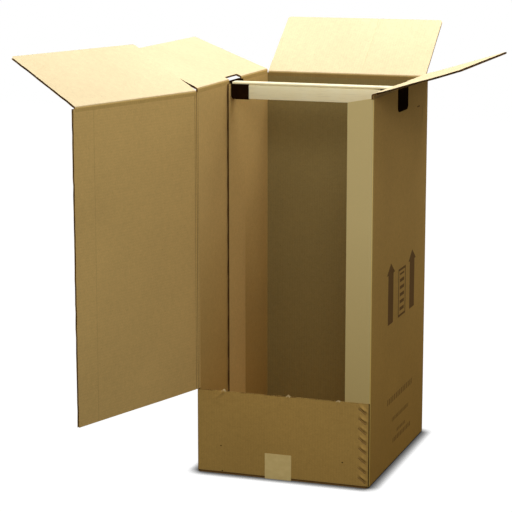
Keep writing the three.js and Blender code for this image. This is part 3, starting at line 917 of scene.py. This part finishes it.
def flap_sheet(low, high, length, relief, notch, score, grid):
    """The flat board of a top flap with the band of wall below its crease."""
    extra_v = [-0.005, -0.0036, -0.0024, -0.0012, 0, 0.0012, 0.0024, 0.0036, 0.005, 0.007, 0.010]
    extra_u = [score + step * 0.002 for step in (-2, -1, 0, 1, 2)] if score else []
    if notch:
        extra_u = [notch[0], notch[1]]
        extra_v = [-0.007] + extra_v + [0.014]
    bm = flat_sheet(low, high, -BAND, length, grid, extra_u, extra_v)
    if notch:
        remove_rectangle(bm, notch[0], notch[1], -0.007, 0.014)
    if relief:
        lean = math.atan2(relief, length)
        cut_sheet(bm, (low, 0, 0), (-math.cos(lean), math.sin(lean), 0))
        beyond = [face for face in bm.faces
                  if face.calc_center_median().y > 0
                  and face.calc_center_median().x < low
                  + face.calc_center_median().y * math.tan(lean) - 1e-6]
        bmesh.ops.delete(bm, geom=beyond, context="FACES")
    return bm


def make_flap(name, body, base_body, node, place, origin, base, out, size, relief, notch, seed, score):
    """One top flap with its crease, blended from the wall it hangs on."""
    settings = bpy.context.scene.wardrobe_board
    low, high, length = size
    bm = flap_sheet(low, high, length, relief, notch, score, settings.grid)
    # Rounded outer corners, cut one corner at a time
    radius = 0.009
    for side, edge in ((1, high), (-1, low)):
        if relief and side < 0:
            continue
        centre = (edge - side * radius, length - radius)
        for step in range(1, 4):
            angle = math.radians(90 * step / 4)
            normal = Vector((side * math.cos(angle), math.sin(angle), 0))
            point = Vector((centre[0], centre[1], 0)) + normal * radius
            cut_sheet(bm, point, normal, clear=True)

    def opened(face):
        centre = face.calc_center_median()
        return centre.y > 0.012 and not (notch and notch[0] - 0.001 < centre.x < notch[1] + 0.001
                                         and centre.y < 0.0145)

    thicken(bm, opened)
    left = (low + relief, length, 0)
    edges = [((low + relief + 0.004, length, 0), (high - 0.008, length, 0), (0, -1, 0), True),
             ((high, 0.013, 0), (high, length - 0.009, 0), (-1, 0, 0), False)]
    lean = math.atan2(relief, length)
    edges.append(((low + 0.013 * math.tan(lean), 0.013, 0),
                  (left[0] - 0.009 * math.tan(lean), length - 0.009, 0),
                  (math.cos(lean), -math.sin(lean), 0), False))
    open_edges(bm, edges)

    # Closed, the side flaps lie on the other two, so each bows away from its neighbour
    away = 1 if body in ("door_flap", "back_flap") else -1

    def shape(u, v, w):
        ends = min(u - low, high - u)
        size = settings.unevenness * 0.75 * fade(v - 0.02, 0.08)
        offset = away * size * (0.4 + 0.6 * abs(uneven(u, v, seed, 0.31)))
        # The crease wanders a little, because the flutes give way one by one
        near = math.exp(-(v / 0.009) ** 2)
        if v > -BAND + 0.001:
            offset += 0.0014 * near * noise.noise(Vector((u * 19, seed, 0))) * fade(ends, 0.03)
        # Crushed side edges and a soft outer edge
        pinch = 1.0
        if v > 0.02:
            side = math.exp(-max(0.0, ends - (relief * v / length if u - low < high - u else 0)) / 0.006)
            pinch -= 0.22 * side * (0.5 + 0.5 * noise.noise(Vector((v * 45, seed, 2.0))))
            offset += away * 0.0022 * side * abs(noise.noise(Vector((v * 52, seed, 5.0))))
        # The crease's score presses the inner liner down, and so does a flap's own score
        if w > 0:
            offset -= 0.0011 * math.exp(-(v / 0.0028) ** 2)
        if score and w > 0 and v > 0.01:
            offset -= 0.0014 * math.exp(-((u - score) / 0.0022) ** 2)
        return u, v, w * pinch + offset

    # Painted shade on the band of wall below the crease, darker for the back flap, whose wall is painted
    # darker inside
    band_shade = 0.5 if score else 0.86
    board = material_for("pale %s" % band_shade, lambda: kraft_board(flap_painted_light=0.62, band_shade=band_shade))
    item = finish_board(bm, name, shape, place, board)
    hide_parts(node)
    origin, base, out = Vector(origin), Vector(base), Vector(out)
    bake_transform(item)
    return item


def lean_out(base, inner, turn):
    """The direction of a flap that leans out from its base."""
    angle = math.radians(turn)
    return Vector(base) * math.cos(angle) - Vector(inner) * math.sin(angle)


class WARDROBE_OT_flaps(bpy.types.Operator):
    """Makes the four top flaps with their creases"""

    bl_idname = "wardrobe.flaps"
    bl_label = "Top flaps"

    def execute(self, context):
        up = (0, 0, 1)
        swing = math.radians(108)
        door_inner = (math.sin(swing), math.cos(swing), 0)
        door_along = (math.cos(swing), -math.sin(swing), 0)
        side = (-0.298, 0.298, 0.25025)
        left_side = (-0.3000, 0.298, 0.25025)
        end = (-0.246, 0.246, 0.251)
        door_middle = (-MID_X + door_along[0] * MID_X, -MID_Y + door_along[1] * MID_X, END_CREASE)
        rows = (
            ("left_flap_board", "left_flap", "carton", "left_top_flap", (-MID_X, 0, SIDE_CREASE),
             (0, 1, 0), (1, 0, 0), 90 - 21.5, left_side, 0.073, (-0.0453, 0.0613), 1, 0),
            ("right_flap_board", "right_flap", "carton", "right_top_flap", (MID_X, 0, SIDE_CREASE),
             (0, 1, 0), (-1, 0, 0), 90 - 17, side, 0.0, (-0.0453, 0.0613), 2, 0),
            ("back_flap_board", "back_flap", "carton", "back_top_flap", (0, MID_Y, END_CREASE),
             (1, 0, 0), (0, -1, 0), 90 - 37, end, 0.0, None, 3, 0.045),
            ("door_flap_board", "door_flap", "door", "door_top_flap", door_middle,
             door_along, door_inner, 90 - 27.5, end, 0.0, None, 4, 0),
        )
        for (name, body, base_body, node, origin, along, inner, turn, size, relief, notch,
             seed, score) in rows:
            make_flap(name, body, base_body, node, bend_place(origin, along, up, inner, turn),
                      origin, up, lean_out(up, inner, turn), size, relief, notch, seed, score)
        return {"FINISHED"}


class WARDROBE_OT_door(bpy.types.Operator):
    """Makes the door with its crease at the front left corner"""

    bl_idname = "wardrobe.door"
    bl_label = "Door"

    def execute(self, context):
        settings = context.scene.wardrobe_board
        low, high = DOOR_BOTTOM, END_WALL_TOP
        reach = MID_X + WALL_X
        band_low, band_high = MID_X - END_REACH, MID_X + END_REACH
        # u is the height, v the distance from the crease; the wall's side of it is below 0
        seam = -0.0100
        extra_v = [-0.0078, -0.0064, -0.005, -0.0036, -0.0022, 0, 0.0016, 0.0030, band_low,
                   0.0060, 0.0085, 0.0100, 0.0115, 0.0135, band_high,
                   OLD_SCORE - 0.004, OLD_SCORE, OLD_SCORE + 0.004]
        bm = flat_sheet(low, high, seam, reach, settings.grid, [END_CREASE - BAND], extra_v)
        remove_rectangle(bm, END_CREASE - BAND, high + 0.01, band_low, band_high)

        def opened(face):
            centre = face.calc_center_median()
            return centre.y > reach - 0.0005 or (centre.x < low + 0.0005 and centre.y > 0.012)

        thicken(bm, opened)
        open_edges(bm, [
            ((low + 0.004, reach, 0), (high - 0.002, reach, 0), (0, -1, 0), False),
            ((low, 0.013, 0), (low, reach - 0.004, 0), (1, 0, 0), True),
        ])

        def shape(u, v, w):
            top = END_CREASE - 0.03 - u
            amount = fade(v - 0.02, 0.1) * fade(top, 0.1)
            offset = settings.unevenness * 1.4 * amount * uneven(u, v, 9, 0.34)
            # The free edge is crushed and wanders
            edge = math.exp(-(reach - v) / 0.010) * fade(top, 0.03)
            pinch = 1 - 0.25 * edge * (0.5 + 0.5 * noise.noise(Vector((u * 42, 1.0, 8.0))))
            offset += 0.0016 * edge * noise.noise(Vector((u * 30, 4.0, 3.0)))
            # Three pressed lines with beads between them let the door swing
            if w > 0:
                for line in HINGE_LINES:
                    offset -= 0.0019 * math.exp(-((v - line) / 0.0015) ** 2)
                offset -= 0.0004 * math.exp(-((v - OLD_SCORE) / 0.002) ** 2) * fade(u - 0.75, 0.2)
            return u, v, w * pinch + offset

        origin = (-MID_X, -MID_Y, 0)
        base, inner = (0, -1, 0), (1, 0, 0)
        place = bend_place(origin, (0, 0, 1), base, inner, 18)

        item = finish_board(bm, "door_board", shape, place,
                            material_for("hinged", lambda: kraft_board(hinged=True)))
        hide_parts("door_panel")
        out = lean_out(base, inner, 18)
        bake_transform(item)
        return {"FINISHED"}


def dressed_copy(node, name, width, segments, material, angle=30):
    """A copy of a CAD node's solid with its sharp edges bevelled."""
    bm = bmesh.new()
    bm.from_mesh(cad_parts[node].data)
    bmesh.ops.remove_doubles(bm, verts=bm.verts, dist=1e-6)
    bmesh.ops.dissolve_limit(bm, angle_limit=math.radians(2), verts=bm.verts, edges=bm.edges)
    sharp = [edge for edge in bm.edges
             if len(edge.link_faces) == 2 and edge.calc_face_angle(0) > math.radians(angle)]
    bmesh.ops.bevel(bm, geom=sharp, offset=width, segments=segments, affect="EDGES",
                    profile=0.5, material=-1, clamp_overlap=True)
    return to_object(bm, name, material, smooth=35)


class WARDROBE_OT_bar(bpy.types.Operator):
    """Makes the hanging bar and its two hooks"""

    bl_idname = "wardrobe.bar"
    bl_label = "Bar and hooks"

    def execute(self, context):
        settings = context.scene.wardrobe_fittings
        enamel = material_for("enamel", bar_enamel)
        plastic = material_for("plastic", hook_plastic)
        bar = dressed_copy("hanging_bar", "bar_channel", settings.bar_bevel, 3, enamel)
        add_piece(bar, "carton", "cream_paint", "hanging_bar")
        for side in ("left", "right"):
            hook = dressed_copy(side + "_bar_hook", side + "_hook_moulding",
                                settings.hook_bevel, 3, plastic)
            add_piece(hook, "carton", "black_plastic", side + "_bar_hook")
        return {"FINISHED"}


class WARDROBE_OT_supports(bpy.types.Operator):
    """Makes the board strips that stand under the hooks"""

    bl_idname = "wardrobe.supports"
    bl_label = "Board strips"

    def execute(self, context):
        settings = context.scene.wardrobe_board
        for side, name in ((-1, "left"), (1, "right")):
            lowest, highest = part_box(name + "_bar_support")
            low, high = lowest.y, highest.y
            bm = flat_sheet(low, high, lowest.z, highest.z, settings.grid)
            thicken(bm, lambda face: True)
            open_edges(bm, [
                ((low, lowest.z + 0.004, 0), (low, highest.z - 0.004, 0), (1, 0, 0), False),
                ((high, lowest.z + 0.004, 0), (high, highest.z - 0.004, 0), (-1, 0, 0), False),
                ((low + 0.004, highest.z, 0), (high - 0.004, highest.z, 0), (0, -1, 0), True),
            ])
            middle = (lowest.x + highest.x) / 2

            def place(u, v, w, middle=middle, side=side):
                return Vector((middle - side * w, u, v))

            item = finish_board(bm, name + "_support_board", lambda u, v, w: (u, v, w), place,
                                material_for("kraft", kraft_board))
            if side > 0:
                item.data.flip_normals()
            add_piece(item, "carton", "kraft_board", name + "_bar_support")
        return {"FINISHED"}


class WARDROBE_OT_stitches(bpy.types.Operator):
    """Makes the wire stitches through the strip and the flange"""

    bl_idname = "wardrobe.stitches"
    bl_label = "Wire stitches"

    def execute(self, context):
        wire = material_for("wire", stitch_wire)
        for index in range(8):
            node = "wire_stitch_%d" % (index + 1)
            stitch = dressed_copy(node, "stitch_%d" % (index + 1), 0.0003, 2, wire)
            add_piece(stitch, "carton", "stitch_wire", node)
        return {"FINISHED"}


class WARDROBE_OT_tape(bpy.types.Operator):
    """Gives the imported paper tape along the bottom seam its material"""

    bl_idname = "wardrobe.tape"
    bl_label = "Tape"

    def execute(self, context):
        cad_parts["bottom_tape"].data.materials.clear()
        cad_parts["bottom_tape"].data.materials.append(material_for("tape", paper_tape))
        return {"FINISHED"}


class WARDROBE_OT_stage(bpy.types.Operator):
    """Sets the floor, the light and the camera"""

    bl_idname = "wardrobe.stage"
    bl_label = "Stage"

    def execute(self, context):
        settings = context.scene.wardrobe_stage
        scene = context.scene
        scene.view_settings.view_transform = "Standard"

        bm = bmesh.new()
        bmesh.ops.create_grid(bm, x_segments=1, y_segments=1, size=8)
        material, tree, shader = new_material("White studio floor")
        output = next(node for node in tree.nodes if node.type == "OUTPUT_MATERIAL")
        shader.inputs["Base Color"].default_value = (0.06, 0.06, 0.06, 1)
        shader.inputs["Roughness"].default_value = 0.9
        shader.inputs["Specular IOR Level"].default_value = 0.0
        # The floor glows white for camera and glossy rays, and the glow fades with ambient occlusion
        # next to the box, which paints a contact shadow round it
        near = add_node(tree, "ShaderNodeAmbientOcclusion", {"samples": 16, "Distance": 0.035})
        open_floor = add_node(tree, MATH, POWER, (near.outputs["AO"], 4.0))
        glow = add_node(tree, MATH, MULTIPLY, (seen_directly(tree), open_floor))
        lift = add_node(tree, "ShaderNodeEmission", {"Color": (1, 1, 1, 1)}, {"Strength": glow})
        both = add_node(tree, "ShaderNodeAddShader", links=(shader, lift))
        feed(tree, output.inputs["Surface"], both)
        floor = to_object(bm, "studio_floor", material)

        world = bpy.data.worlds.new("Studio white")
        scene.world = world
        world.use_nodes = True
        tree = world.node_tree
        tree.nodes.clear()
        strength = add_node(tree, MATH, MAXIMUM, (seen_directly(tree), settings.world_strength))
        sky = add_node(tree, "ShaderNodeBackground", {"Color": (1, 1, 1, 1)},
                       {"Strength": strength})
        add_node(tree, "ShaderNodeOutputWorld", links={"Surface": sky})

        for name, place, target, size, power in (
                ("overhead softbox", (0.2, 0.35, 3.1), (0, 0, 0.6), 2.2, settings.key_power),
                ("front softbox", (1.0, -3.8, 2.7), (0, 0, 0.8), 1.6, settings.fill_power)):
            light = bpy.data.lights.new(name, "AREA")
            light.shape = "DISK"
            light.size = size
            light.energy = power
            lamp = bpy.data.objects.new(name, light)
            scene.collection.objects.link(lamp)
            direction = Vector(target) - Vector(place)
            lamp.location = place
            lamp.rotation_euler = direction.to_track_quat("-Z", "Y").to_euler()

        camera_data = bpy.data.cameras.new("camera")
        camera_data.lens = settings.lens
        camera_data.sensor_width = 36
        camera_data.clip_end = 50
        camera = bpy.data.objects.new("camera", camera_data)
        scene.collection.objects.link(camera)
        camera.location = (1.632, -5.233, 1.652)
        camera.rotation_euler = (math.radians(79.01), 0, math.radians(19.12))
        scene.camera = camera
        return {"FINISHED"}


class WARDROBE_PT_panel(bpy.types.Panel):
    """Lists the steps that build the box"""

    bl_label = "Wardrobe box"
    bl_idname = "WARDROBE_PT_panel"
    bl_space_type = "VIEW_3D"
    bl_region_type = "UI"
    bl_category = "Wardrobe box"

    def draw(self, context):
        for name in STEPS:
            self.layout.operator("wardrobe." + name)
        for group in (context.scene.wardrobe_board, context.scene.wardrobe_fittings,
                      context.scene.wardrobe_stage):
            box = self.layout.box()
            for key in group.__annotations__:
                box.prop(group, key)


STEPS = ("walls", "bottom", "door", "flaps", "bar", "supports", "stitches", "tape", "stage")
CLASSES = (
    BoardSettings, FittingSettings, StageSettings, WARDROBE_OT_walls, WARDROBE_OT_bottom,
    WARDROBE_OT_door, WARDROBE_OT_flaps, WARDROBE_OT_bar, WARDROBE_OT_supports,
    WARDROBE_OT_stitches, WARDROBE_OT_tape, WARDROBE_OT_stage, WARDROBE_PT_panel,
)


def register():
    for item in CLASSES:
        bpy.utils.register_class(item)
    bpy.types.Scene.wardrobe_board = PointerProperty(type=BoardSettings)
    bpy.types.Scene.wardrobe_fittings = PointerProperty(type=FittingSettings)
    bpy.types.Scene.wardrobe_stage = PointerProperty(type=StageSettings)


def unregister():
    del bpy.types.Scene.wardrobe_stage
    del bpy.types.Scene.wardrobe_fittings
    del bpy.types.Scene.wardrobe_board
    for item in reversed(CLASSES):
        bpy.utils.unregister_class(item)


def main():
    register()
    for name in STEPS:
        getattr(bpy.ops.wardrobe, name)()


if __name__ == "__main__":
    main()
